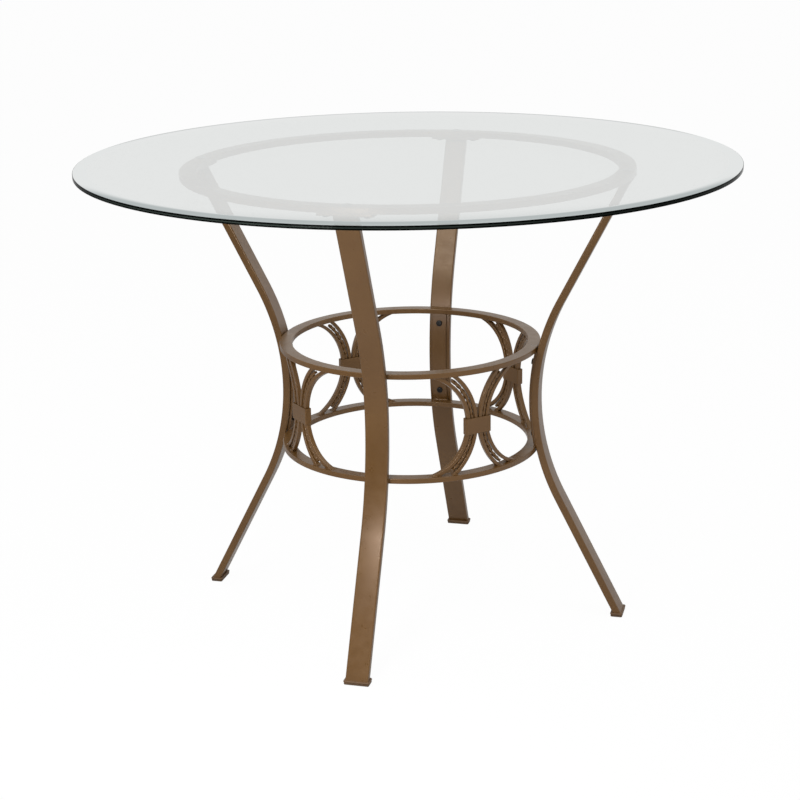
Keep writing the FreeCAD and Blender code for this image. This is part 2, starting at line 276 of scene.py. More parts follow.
def carried(path: Points, first: Points, second: Points, outline: Points) -> Points:
    """Return the grid that an outline draws when it is carried along a path.

    Point (i, j) is path[i] + outline[j, 0] * first[i] + outline[j, 1] * second[i].

    Args:
        path: Points of the path, shape (rows, 3).
        first: Direction of the outline's first axis at each point of the path.
        second: Direction of the outline's second axis at each point of the path.
        outline: Closed line of points, shape (columns, 2).

    Returns:
        Grid of points, shape (rows, columns, 3).
    """
    return path[:, None, :] + outline[:, :1] * first[:, None, :] + outline[:, 1:] * second[:, None, :]


def level_bar(path: Points, upwards: Points, inwards: Points, outline: Points, ends: Pair) -> Skin:
    """Return a bar along a path in the plane of X and Z, cut level at both ends.

    The outline's first axis lies along Y and its second one inwards. The points of the first and the last row
    slide along the path until they stand at the heights of the ends.

    Args:
        path: Points of the path, from top to bottom.
        upwards: Direction of the path at each point.
        inwards: Direction square to it, towards the table's axis.
        outline: Closed line of sideways and inward offsets.
        ends: Heights of the top and of the bottom.

    Returns:
        The bar.
    """
    grid = carried(path, np.broadcast_to(Y_AXIS, path.shape), inwards, outline)
    for row, height in zip((0, -1), ends):
        grid[row] += ((height - grid[row, :, 2]) / upwards[row, 2])[:, None] * upwards[row]
    return rolled(grid)


def lathe(profile: Points, segments: int) -> Points:
    """Return the grid of a profile turned about +Z: its radii along level spokes, at its heights."""
    return profile[:, :1, None] * spokes(whole_turn(segments)) + profile[:, 1:, None] * Z_AXIS


def rolled_ring(middle_radius: float, middle_height: float, outline: Points, segments: int) -> Skin:
    """Return a closed ring: an outline of radial and upward offsets carried round the table's axis.

    Args:
        middle_radius: Radius of the ring's centre line.
        middle_height: Height of the centre line.
        outline: Closed line of offsets.
        segments: Rows round the axis.

    Returns:
        The ring.
    """
    outwards = spokes(whole_turn(segments))
    upwards = np.broadcast_to(Z_AXIS, outwards.shape)
    path = middle_radius * outwards + middle_height * upwards
    return rolled(carried(path, outwards, upwards, outline), loop=True)


def slab(width: float, depth: float, corner: float, low: float, high: float, edge: float) -> Skin:
    """Return a flat block with round upright corners and softened upper and lower edges.

    Each level is the plan's outline drawn in by edge * (1 - cos a) at a height edge * (1 - sin a) from the
    face, for a from a quarter turn to 0 at the lower face and back again at the upper one.

    Args:
        width: Size along X.
        depth: Size along Y.
        corner: Radius of the upright corners.
        low: Height of the lower face.
        high: Height of the upper face.
        edge: Radius of the softened edges.

    Returns:
        The block, centred on the Z axis.
    """
    turn = np.linspace(np.pi / 2, 0.0, EDGE_ROWS)
    draw, rise = edge * (1 - np.cos(turn)), edge * (1 - np.sin(turn))
    draws = np.concatenate([draw, draw[::-1]])
    heights = np.concatenate([low + rise, high - rise[::-1]])
    rings = [rounded_outline(width - 2 * d, depth - 2 * d, max(corner - d, SMALLEST_CORNER)) for d in draws]
    plan = np.stack(rings)
    upright = np.broadcast_to(heights[:, None, None], plan.shape[:2] + (1,))
    return rolled(np.concatenate([plan, upright], axis=-1))


@dataclass(frozen=True)
class Weld:
    """A rippled weld bead, half sunk in the joint that it fills, as long as a share of what it joins."""

    share: float
    radius: float
    ripples: int
    swell: float = 0.0

    def bead(self, width: float) -> Skin:
        """Return a bead along X, centred on the origin.

        Its radius at a share t of its half length is radius * sqrt(1 - t^4) times
        1 + swell * t^2 + r * cos(ripples pi t), where r is the height of the ripples.

        Args:
            width: Width of what the bead joins.

        Returns:
            The bead.
        """
        along = np.sin(np.linspace(-BEAD_END, BEAD_END, BEAD_ROWS))[:, None, None]
        ripple = BEAD_RIPPLE * np.cos(self.ripples * np.pi * along)
        body = np.sqrt(1 - along ** 4) * (1 + self.swell * along ** 2 + ripple)
        ring = np.roll(spokes(whole_turn(BEAD_COLUMNS)), 1, axis=-1)
        return rolled(along * self.share * width / 2 * X_AXIS + self.radius * body * ring)

    def row(self, width: float, centres: Sequence[Points], along: Points, across: Points) -> Skin:
        """Return a bead at each of several centres, lying along one level direction and across another."""
        bead = self.bead(width)
        return joined([bead.placed(centre, along, across, Z_AXIS) for centre in centres])


# Finishes


class Graph:
    """The node tree of a material or of the sky, with short calls to add and join nodes."""

    def __init__(self, owner: bpy.types.Material | bpy.types.World, output: str) -> None:
        """Empty the owner's tree and give it an output.

        Args:
            owner: The material or the sky.
            output: Blender's name for the output node's type.
        """
        self.owner = owner
        owner.use_nodes = True
        self.tree = owner.node_tree
        self.tree.nodes.clear()
        self.output = self.tree.nodes.new(output)
        self.place = self.add("TexCoord", {})["Object"]

    @classmethod
    def material(cls, name: str) -> "Graph":
        """Return the tree of a new material."""
        return cls(bpy.data.materials.new(name), "ShaderNodeOutputMaterial")

    def add(self, kind: str, inputs: dict[int | str, object], **settings: str) -> Sequence[Socket]:
        """Add a node.

        Args:
            kind: Blender's name for the node's type, without the ShaderNode before it.
            inputs: Numbers, colours, or output sockets to join, by the name or the number of the input.
            **settings: Attributes of the node to set first.

        Returns:
            The node's outputs.
        """
        node = self.tree.nodes.new(f"ShaderNode{kind}")
        for key, value in settings.items():
            setattr(node, key, value)
        for key, value in inputs.items():
            if isinstance(value, Socket):
                self.tree.links.new(value, node.inputs[key])
            else:
                node.inputs[key].default_value = (*value, 1.0) if isinstance(value, tuple) else value
        return node.outputs

    def noise(self, scale: float, detail: float = NOISE_DETAIL) -> Socket:
        """Return a noise value over the object, with its scale in cells per metre."""
        inputs = {"Vector": self.place, "Scale": scale, "Detail": detail, "Roughness": NOISE_ROUGHNESS}
        return self.add("TexNoise", inputs)["Fac"]

    def ranged(self, value: Socket, low: float, high: float, ramp: Pair = NOISE_RAMP,
               course: str = "LINEAR") -> Socket:
        """Return a value mapped from the ends of a ramp to low and high, held there, on a line or a curve."""
        inputs = {"Value": value, "From Min": ramp[0], "From Max": ramp[1], "To Min": low, "To Max": high}
        return self.add("MapRange", inputs, interpolation_type=course)["Result"]

    def worked(self, operation: str, *values: Socket | float) -> Socket:
        """Return the outcome of one operation on numbers or sockets."""
        return self.add("Math", dict(enumerate(values)), operation=operation)[0]

    def blended(self, share: Socket, first: Socket | Triple, second: Socket | Triple) -> Socket:
        """Return a colour between two, by a share."""
        inputs = {"Factor": share, MIX_FIRST: first, MIX_SECOND: second}
        return self.add("Mix", inputs, data_type="RGBA")[MIX_RESULT]

    def patchy(self, scale: float, dark: Triple, light: Triple, detail: float = NOISE_DETAIL) -> Socket:
        """Return two colours in soft patches, with their scale in cells per metre."""
        return self.blended(self.ranged(self.noise(scale, detail), 0.0, 1.0), dark, light)

    def bump(self, height: Socket, depth: float, strength: float) -> Socket:
        """Return a normal roughened by a height, with the full depth in metres."""
        return self.add("Bump", {"Height": height, "Distance": depth, "Strength": strength})["Normal"]

    def mixed(self, share: Socket, first: Socket, second: Socket) -> Socket:
        """Return a shader between two, by a share."""
        return self.add("MixShader", {"Fac": share, 1: first, 2: second})[0]

    def finish(self, shader: Socket) -> bpy.types.Material | bpy.types.World:
        """Join a shader to the output and return the material or the sky."""
        self.tree.links.new(shader, self.output.inputs["Surface"])
        return self.owner


def linear(red: int, green: int, blue: int) -> Triple:
    """Return a screen's sRGB colour, 0 to 255, as the light values that shaders take, by the sRGB curve."""
    shares = np.array([red, green, blue]) / 255.0
    return tuple(np.where(shares <= 0.04045, shares / 12.92, ((shares + 0.055) / 1.055) ** 2.4).tolist())


@dataclass(frozen=True)
class Finish:
    """A finish of the table. Scales are in cells per metre, and depths and heights in metres."""

    name: str

    @cache
    def material(self) -> bpy.types.Material:
        """Return the finish's material, made when it is first asked for."""
        graph = Graph.material(self.name)
        return graph.finish(self.shader(graph))

    def shader(self, graph: Graph) -> Socket:
        """Return the finish's shader, added to a graph. Every kind of finish has its own."""
        raise NotImplementedError(self.name)


@dataclass(frozen=True)
class Coat(Finish):
    """An opaque finish: two colours in soft patches, uneven gloss and, where it has a depth, a fine grain."""

    dark: Triple
    light: Triple
    roughness: Pair
    patch_scale: float
    gloss_scale: float
    grain_scale: float = 0.0
    grain_depth: float = 0.0
    grain_strength: float = 0.6
    metallic: float = 0.0
    patch_detail: float = 4.0
    grain_detail: float = 2.0

    def colour(self, graph: Graph) -> Socket:
        """Return the colour of the patches."""
        return graph.patchy(self.patch_scale, self.dark, self.light, self.patch_detail)

    def shader(self, graph: Graph) -> Socket:
        """Return the coat's shader.

        Args:
            graph: Graph that it is added to.

        Returns:
            The shader, which reads Object coordinates.
        """
        rough = graph.ranged(graph.noise(self.gloss_scale), *self.roughness)
        inputs = {"Base Color": self.colour(graph), "Roughness": rough, "Metallic": self.metallic}
        if self.grain_depth:
            grain = graph.noise(self.grain_scale, self.grain_detail)
            inputs["Normal"] = graph.bump(grain, self.grain_depth, self.grain_strength)
        return graph.add("BsdfPrincipled", inputs)["BSDF"]


@dataclass(frozen=True)
class FlakedCoat(Coat):
    """A coat with fine flake over its patches."""

    flake: Triple = WHITE
    flake_scale: float = 2400.0
    flake_detail: float = 1.0
    flake_share: float = 0.35
    flake_ramp: Pair = (0.58, 0.78)

    def colour(self, graph: Graph) -> Socket:
        """Return the colour of the patches with the flake over them."""
        noise = graph.noise(self.flake_scale, self.flake_detail)
        spark = graph.ranged(noise, 0.0, self.flake_share, self.flake_ramp)
        return graph.blended(spark, super().colour(graph), self.flake)


@dataclass(frozen=True)
class ClearSheet(Finish):
    """Clear polished glass whose faces mirror more, and so look milkier, the flatter they are seen."""

    tint: Triple
    mirror: Triple
    head_on: float
    flat_on: float
    facing_ramp: Pair = (0.35, 0.80)
    roughness: Pair = (0.02, 0.06)
    smear_scale: float = 9.0
    smear_detail: float = 4.0

    def shader(self, graph: Graph) -> Socket:
        """Return a clear film mixed with a mirror, whose share rises between two facing angles.

        Args:
            graph: Graph that it is added to.

        Returns:
            The shader.
        """
        facing = graph.add("LayerWeight", {})["Facing"]
        share = graph.ranged(facing, self.head_on, self.flat_on, self.facing_ramp, "SMOOTHSTEP")
        rough = graph.ranged(graph.noise(self.smear_scale, self.smear_detail), *self.roughness)
        clear = graph.add("BsdfTransparent", {"Color": self.tint})[0]
        glossy = graph.add("BsdfGlossy", {"Color": self.mirror, "Roughness": rough})[0]
        return graph.mixed(share, clear, glossy)


@dataclass(frozen=True)
class GroundEdge(Finish):
    """Polished edge of the glass: clear from inside, almost black from outside, with a painted highlight line
    on it.
    """

    deep: Triple = linear(4, 6, 5)
    pale: Triple = linear(44, 50, 47)
    middle_height: float = 0.7573
    line_half_heights: Pair = (0.00052, 0.0013)
    uneven_scale: float = 5.0
    uneven_share: Pair = (0.3, 1.0)
    uneven_ramp: Pair = (0.35, 0.65)
    roughness: float = 0.12
    shine: float = 0.01

    def shader(self, graph: Graph) -> Socket:
        """Return the edge's shader. The painted highlight line fades with the distance from the edge's middle
        height.

        Args:
            graph: Graph that it is added to.

        Returns:
            The shader.
        """
        height = graph.add("SeparateXYZ", {"Vector": graph.place})["Z"]
        away = graph.worked("ABSOLUTE", graph.worked("SUBTRACT", height, self.middle_height))
        # Painted highlight: the pale colour makes a line along the edge's middle height, fading above and
        # below it.
        line = graph.ranged(away, 1.0, 0.0, self.line_half_heights)
        uneven = graph.ranged(graph.noise(self.uneven_scale), *self.uneven_share, self.uneven_ramp)
        colour = graph.blended(graph.worked("MULTIPLY", line, uneven), self.deep, self.pale)
        inputs = {"Base Color": colour, "Roughness": self.roughness, "Specular IOR Level": self.shine}
        solid = graph.add("BsdfPrincipled", inputs)["BSDF"]
        clear = graph.add("BsdfTransparent", {"Color": WHITE})[0]
        return graph.mixed(graph.add("NewGeometry", {})["Backfacing"], solid, clear)


@dataclass(frozen=True)
class SoftClearPad(Finish):
    """Soft clear bumper: partly see-through, with a cloudy heart."""

    cloud: Triple = linear(122, 125, 123)
    clear: Triple = linear(186, 190, 188)
    solid: Pair = (0.5, 0.75)
    solid_scale: float = 160.0
    cloud_scale: float = 90.0
    cloud_detail: float = 2.0
    roughness: float = 0.22

    def shader(self, graph: Graph) -> Socket:
        """Return a clear film mixed with a cloudy body, by patches.

        Args:
            graph: Graph that it is added to.

        Returns:
            The shader.
        """
        share = graph.ranged(graph.noise(self.solid_scale), *self.solid)
        film = graph.add("BsdfTransparent", {"Color": self.clear})[0]
        colour = graph.patchy(self.cloud_scale, self.cloud, self.clear, self.cloud_detail)
        body = graph.add("BsdfPrincipled", {"Base Color": colour, "Roughness": self.roughness})["BSDF"]
        return graph.mixed(share, film, body)


GLASS_FACE = ClearSheet("glass_face", (0.97, 0.99, 0.98), (0.755, 0.765, 0.76), 0.07, 0.86)
GLASS_BEVEL = ClearSheet("glass_bevel", (0.92, 0.95, 0.95), (0.768, 0.785, 0.78), 0.09, 1.0, (0.35, 0.7))
GLASS_UNDER = ClearSheet("glass_underside", (0.98, 0.995, 0.99), (0.8, 0.82, 0.81), 0.03, 0.08)
BRONZE_COAT = FlakedCoat(
    "bronze_coat", linear(98, 68, 34), linear(108, 77, 41), (0.27, 0.35), patch_scale=11.0, gloss_scale=70.0,
    grain_scale=420.0, grain_depth=0.00006, metallic=0.2, patch_detail=5.0, flake=linear(136, 105, 68))
BLACK_OXIDE = Coat(
    "black_oxide", linear(16, 15, 15), linear(38, 36, 34), (0.3, 0.5), patch_scale=500.0, gloss_scale=900.0,
    grain_scale=2200.0, grain_depth=0.00002, grain_strength=0.5, metallic=0.5)
ZINC_PLATE = Coat(
    "zinc_plate", linear(150, 150, 148), linear(186, 187, 184), (0.28, 0.45), patch_scale=300.0,
    gloss_scale=600.0, metallic=0.9)
FOOT_PLASTIC = Coat(
    "foot_plastic", linear(88, 62, 37), linear(102, 74, 46), (0.44, 0.56), patch_scale=45.0,
    gloss_scale=260.0, grain_scale=1500.0, grain_depth=0.00005)
GLIDE_PLASTIC = replace(
    FOOT_PLASTIC, name="glide_plastic", dark=linear(78, 56, 34), light=linear(92, 68, 43),
    roughness=(0.49, 0.61))

FINISHES: dict[Slot, tuple[Finish, ...]] = {
    Slot.GLASS: (GLASS_FACE, GLASS_BEVEL, GroundEdge("glass_edge"), GLASS_UNDER),
    Slot.PAD: (SoftClearPad("soft_clear_pad"),),
    Slot.BRONZE: (BRONZE_COAT,),
    Slot.BOLT: (BLACK_OXIDE,),
    Slot.NUT: (ZINC_PLATE,),
    Slot.FOOT: (FOOT_PLASTIC,),
    Slot.GLIDE: (GLIDE_PLASTIC,),
}


# Pieces


def linked(name: str, data: bpy.types.ID) -> bpy.types.Object:
    """Return a new object in the scene, at the origin.

    Args:
        name: Name of the object.
        data: Its mesh, light or camera.

    Returns:
        The object.
    """
    thing = bpy.data.objects.new(name, data)
    bpy.context.scene.collection.objects.link(thing)
    return thing


def make_piece(name: str, skin: Skin, node: str, slot: Slot = Slot.BRONZE, body: Body = Body.BASE) -> None:
    """Build a piece's mesh and tie it to the frame.

    Args:
        name: Name of the piece.
        skin: Its surface, in millimetres.
        node: Node of the frame that it stands for.
        slot: Material slot of the record that it takes its finish from.
        body: Body that it rides on.
    """
    mesh = bpy.data.meshes.new(name)
    mesh.vertices.add(len(skin.points))
    mesh.vertices.foreach_set("co", (skin.points * MM).ravel())
    mesh.loops.add(len(skin.corners))
    mesh.loops.foreach_set("vertex_index", skin.corners.astype(np.int32))
    mesh.polygons.add(len(skin.sizes))
    starts = np.concatenate([[0], np.cumsum(skin.sizes)[:-1]])
    mesh.polygons.foreach_set("loop_start", starts.astype(np.int32))
    mesh.polygons.foreach_set("material_index", skin.tones.astype(np.int32))
    mesh.polygons.foreach_set("use_smooth", np.ones(len(skin.sizes), bool))
    mesh.update(calc_edges=True)
    mesh.validate()
    shell = bmesh.new()
    shell.from_mesh(mesh)
    bmesh.ops.recalc_face_normals(shell, faces=shell.faces)
    shell.to_mesh(mesh)
    shell.free()
    mesh.set_sharp_from_angle(angle=SHARP_ANGLE)
    for finish in FINISHES[slot]:
        mesh.materials.append(finish.material())
    piece = linked(name, mesh)
    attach(piece, body.value)
    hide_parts(node)
    LOG.info("%s: %d faces on %s", name, len(skin.sizes), body.value)


def repaint(node: str, finish: Finish) -> None:
    """Give a kept node of the frame a better material.

    Args:
        node: Name of the node.
        finish: The finish for all its material slots.
    """
    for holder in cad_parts[node].material_slots:
        holder.material = finish.material()
    LOG.info("%s: kept, with %s", node, finish.name)


@dataclass
class TopRing:
    """The ring under the glass, with its clear pads."""

    middle_radius: float = 353.5
    middle_height: float = 747.0
    width: float = 27.0
    height: float = 10.0
    corner: float = 1.5
    segments: int = 288
    pad_diameter: float = 15.0
    pad_height: float = 2.0
    pad_rows: int = 11
    pad_segments: int = 40

    @property
    def top(self) -> float:
        """Return the height of the ring's upper face."""
        return self.middle_height + self.height / 2

    @property
    def bottom(self) -> float:
        """Return the height of the ring's lower face."""
        return self.middle_height - self.height / 2

    def build(self) -> None:
        """Build the ring and the pads."""
        outline = rounded_outline(self.width, self.height, self.corner)
        ring = rolled_ring(self.middle_radius, self.middle_height, outline, self.segments)
        make_piece("under_glass_ring", ring, "top_ring")
        pads = at_every_leg(self.pad().moved([self.middle_radius, 0.0, 0.0]))
        make_piece("bumper_pads", pads, "glass_pads", Slot.PAD)

    def pad(self) -> Skin:
        """Return one pad: a disc whose side bulges as a half circle between its flat faces."""
        half = self.pad_height / 2
        turn = np.linspace(-np.pi / 2, np.pi / 2, self.pad_rows)
        radii = self.pad_diameter / 2 - half + half * np.cos(turn)
        heights = self.top + half + half * np.sin(turn)
        return rolled(lathe(np.stack([radii, heights], axis=-1), self.pad_segments))


@dataclass
class GlassTop:
    """The loose glass plate, with a wide bevel above, a polished edge and small arrises.

    The points of an arris are shares of its size, inwards from the rim and upwards from its own face.
    """

    ring: TopRing
    diameter: float = 1066.8
    thickness: float = 8.0
    bevel_width: float = 22.0
    bevel_drop: float = 1.5
    rim_band: float = 120.0
    arris: float = 0.6
    lower_arris: tuple[Pair, ...] = ((1.0, 0.0), (0.3, 0.3), (0.0, 1.0))
    upper_arris: tuple[Pair, ...] = ((0.0, -1.0), (0.35, -0.2), (1.2, 0.12))
    segments: int = 288

    def build(self) -> None:
        """Build the plate by turning its profile about the table's axis."""
        rim = self.diameter / 2
        bottom = self.ring.top + self.ring.pad_height
        top = bottom + self.thickness
        scale = np.array([-self.arris, self.arris])
        profile = np.concatenate([
            [[rim - self.rim_band, bottom]],
            [rim, bottom] + scale * self.lower_arris,
            [rim, top - self.bevel_drop] + scale * self.upper_arris,
            [[rim - self.bevel_width, top], [rim - self.rim_band, top]],
        ])
        edge_bands = len(self.lower_arris) + len(self.upper_arris) - 1
        bands = [Tone.UNDER] + [Tone.EDGE] * edge_bands + [Tone.BEVEL, Tone.FACE]
        skin = rolled(lathe(profile, self.segments), row_tones=[band.value for band in bands])
        make_piece("glass_plate", skin, "glass_top", Slot.GLASS, Body.GLASS)


@dataclass
class LegLine:
    """The line that every leg follows: a straight run, a bend inwards at the waist and a straight run.

    It holds the width and the thickness of the legs too.
    """

    bend_radius: float = 365.99
    waist_radius: float = 213.5
    waist_height: float = 371.02
    top_radius: float = 356.5
    top: float = 738.0
    foot_radius: float = 355.5
    bottom: float = 7.0
    width: float = 37.0
    thickness: float = 12.0
    bend_rows: int = 61
    end_row: float = 40.0

    @property
    def centre_radius(self) -> float:
        """Return how far the bend's centre stands from the table's axis."""
        return self.waist_radius + self.bend_radius

    def lean(self, radius: float, rise: float) -> float:
        """Return the lean from upright, in radians, of the run to an end at a radius and a rise."""
        inwards = self.centre_radius - radius
        return math.atan2(rise, inwards) - math.acos(self.bend_radius / math.hypot(inwards, rise))

    @property
    def upper_lean(self) -> float:
        """Return the lean of the upper run."""
        return self.lean(self.top_radius, self.top - self.waist_height)

    @property
    def lower_lean(self) -> float:
        """Return the lean of the lower run."""
        return self.lean(self.foot_radius, self.waist_height - self.bottom)

    def stations(self, offset: float, angles: Points) -> tuple[Points, Points, Points]:
        """Return points on the bend, with the directions along it and towards the table's axis.

        At angle a above the waist the point stands at centre_radius - r cos a and waist_height + r sin a,
        with r the bend's radius plus the offset.

        Args:
            offset: Distance from the centre line, towards the table's axis.
            angles: Angles above the waist, from top to bottom.

        Returns:
            Points, upward directions and inward directions, each of shape (rows, 3).
        """
        cosine, sine, nothing = np.cos(angles), np.sin(angles), np.zeros_like(angles)
        upwards = np.stack([sine, nothing, cosine], axis=-1)
        inwards = np.stack([-cosine, nothing, sine], axis=-1)
        centre = np.array([self.centre_radius, 0.0, self.waist_height])
        return centre + (self.bend_radius + offset) * inwards, upwards, inwards

    def nearest(self, offset: float, rise: float) -> float:
        """Return the radius where a line beside the leg passes a height above or below the waist."""
        return self.centre_radius - math.sqrt((self.bend_radius + offset) ** 2 - rise ** 2)

    def bar(self, outline: Points) -> Skin:
        """Return a bar of an outline along the whole leg on +X, cut level at both ends.

        Args:
            outline: Closed line of sideways and inward offsets.

        Returns:
            The bar.
        """
        upper, lower = self.upper_lean, -self.lower_lean
        angles = np.pad(np.linspace(upper, lower, self.bend_rows), 2, mode="edge")
        points, upwards, inwards = self.stations(0.0, angles)
        ends = np.array([0, 1, -2, -1])
        heights = np.array([self.top, self.top - self.end_row, self.bottom + self.end_row, self.bottom])
        reach = (heights - points[ends, 2]) / upwards[ends, 2]
        points[ends] += reach[:, None] * upwards[ends]
        return level_bar(points, upwards, inwards, outline, (self.top, self.bottom))


@dataclass
class Legs:
    """The four legs, with the plates on their tops and their feet."""

    line: LegLine
    ring: TopRing
    corner: float = 2.0
    crown: float = 0.45
    plate_length: float = 86.0
    plate_width: float = 24.0
    plate_corner: float = 4.0
    plate_edge: float = 0.7
    lip_side: float = 2.5
    lip_end: float = 3.7
    flange_bottom: float = 3.5
    foot_corner: float = 3.0
    foot_edge: float = 1.4
    glide_inset: float = 0.6
    weld: Weld = Weld(0.86, 1.8, 11)

    def build(self) -> None:
        """Build every leg with its plate, foot and glide."""
        outline = rounded_outline(self.line.width, self.line.thickness, self.corner)
        tube = self.line.bar(crowned(outline, self.line.width, self.crown))
        plate = slab(self.plate_width, self.plate_length, self.plate_corner, self.line.top, self.ring.bottom,
                     self.plate_edge)
        parts = (
            ("leg", "leg", joined([tube, self.plate_welds()]), Slot.BRONZE),
            ("leg_plate", "leg_plate", plate.moved([self.ring.middle_radius, 0.0, 0.0]), Slot.BRONZE),
            ("foot", "foot_cap", self.foot(0.0, self.flange_bottom, self.line.bottom), Slot.FOOT),
            ("glide", "foot_glide", self.foot(self.glide_inset, 0.0, self.flange_bottom), Slot.GLIDE),
        )
        for side in Side:
            for name, node, skin, slot in parts:
                make_piece(f"{side.word}_{name}", skin.turned(side.value), f"{node}_{side.word}", slot)

    def foot(self, inset: float, low: float, high: float) -> Skin:
        """Return a level of the foot under the leg on +X.

        Args:
            inset: How far its sides stand inside the flange's.
            low: Height of its lower face.
            high: Height of its upper face.

        Returns:
            The block.
        """
        reach = self.line.thickness / math.cos(self.line.lower_lean) + 2 * (self.lip_end - inset)
        span = self.line.width + 2 * (self.lip_side - inset)
        block = slab(reach, span, self.foot_corner - inset / 2, low, high, self.foot_edge)
        return block.moved([self.line.foot_radius, 0.0, 0.0])

    def plate_welds(self) -> Skin:
        """Return the weld beads between the leg on +X and its plate, one on each wide face."""
        half = self.line.thickness / 2 / math.cos(self.line.upper_lean)
        centres = [np.array([self.line.top_radius + sign * half, 0.0, self.line.top]) for sign in (-1, 1)]
        return self.weld.row(self.line.width, centres, Y_AXIS, X_AXIS)


@dataclass
class Basket:
    """The two rings at the waist and the straps that bolt them to the legs."""

    line: LegLine
    spacing: float = 171.3
    width: float = 20.5
    height: float = 8.5
    corner: float = 1.2
    leg_clearance: float = 0.3
    strap_clearance: float = 0.4
    strap_width: float = 25.0
    strap_thickness: float = 3.5
    strap_corner: float = 0.7
    strap_rows: int = 33
    segments: int = 224
    weld: Weld = Weld(1.04, 1.7, 9, 0.7)

    @property
    def half_opening(self) -> float:
        """Return half the height between the rings' facing sides."""
        return (self.spacing - self.height) / 2

    @property
    def middle_radius(self) -> float:
        """Return the radius of the rings' centre lines, set by where the legs pass them."""
        leg = self.line.nearest(self.line.thickness / 2, self.half_opening)
        return leg - self.leg_clearance - self.width / 2

    @property
    def strap_offset(self) -> float:
        """Return the strap's middle, measured from the leg's centre line."""
        return self.line.thickness / 2 + self.strap_clearance + self.strap_thickness / 2

    @property
    def facing_heights(self) -> Pair:
        """Return the heights of the upper and the lower ring's facing sides."""
        return self.line.waist_height + self.half_opening, self.line.waist_height - self.half_opening

    def build(self) -> None:
        """Build the rings and the straps."""
        outline = rounded_outline(self.width, self.height, self.corner)
        for name, sign in (("upper", 1), ("lower", -1)):
            level = self.line.waist_height + sign * self.spacing / 2
            ring = rolled_ring(self.middle_radius, level, outline, self.segments)
            make_piece(f"basket_{name}_ring", ring, f"{name}_basket_ring")
        strap = joined([self.strap(), self.strap_welds()])
        for side in Side:
            make_piece(f"{side.word}_strap", strap.turned(side.value), f"strap_{side.word}")

    def strap(self) -> Skin:
        """Return the strap that follows the inner face of the leg on +X, cut level at the rings."""
        reach = math.asin(self.half_opening / (self.line.bend_radius + self.strap_offset))
        stations = self.line.stations(self.strap_offset, np.linspace(reach, -reach, self.strap_rows))
        outline = rounded_outline(self.strap_width, self.strap_thickness, self.strap_corner)
        return level_bar(*stations, outline, self.facing_heights)

    def strap_welds(self) -> Skin:
        """Return the weld beads along the strap's inner face at both rings."""
        radius = self.line.nearest(self.strap_offset + self.strap_thickness / 2, self.half_opening)
        centres = [np.array([radius, 0.0, height]) for height in reversed(self.facing_heights)]
        return self.weld.row(self.strap_width, centres, Y_AXIS, X_AXIS)


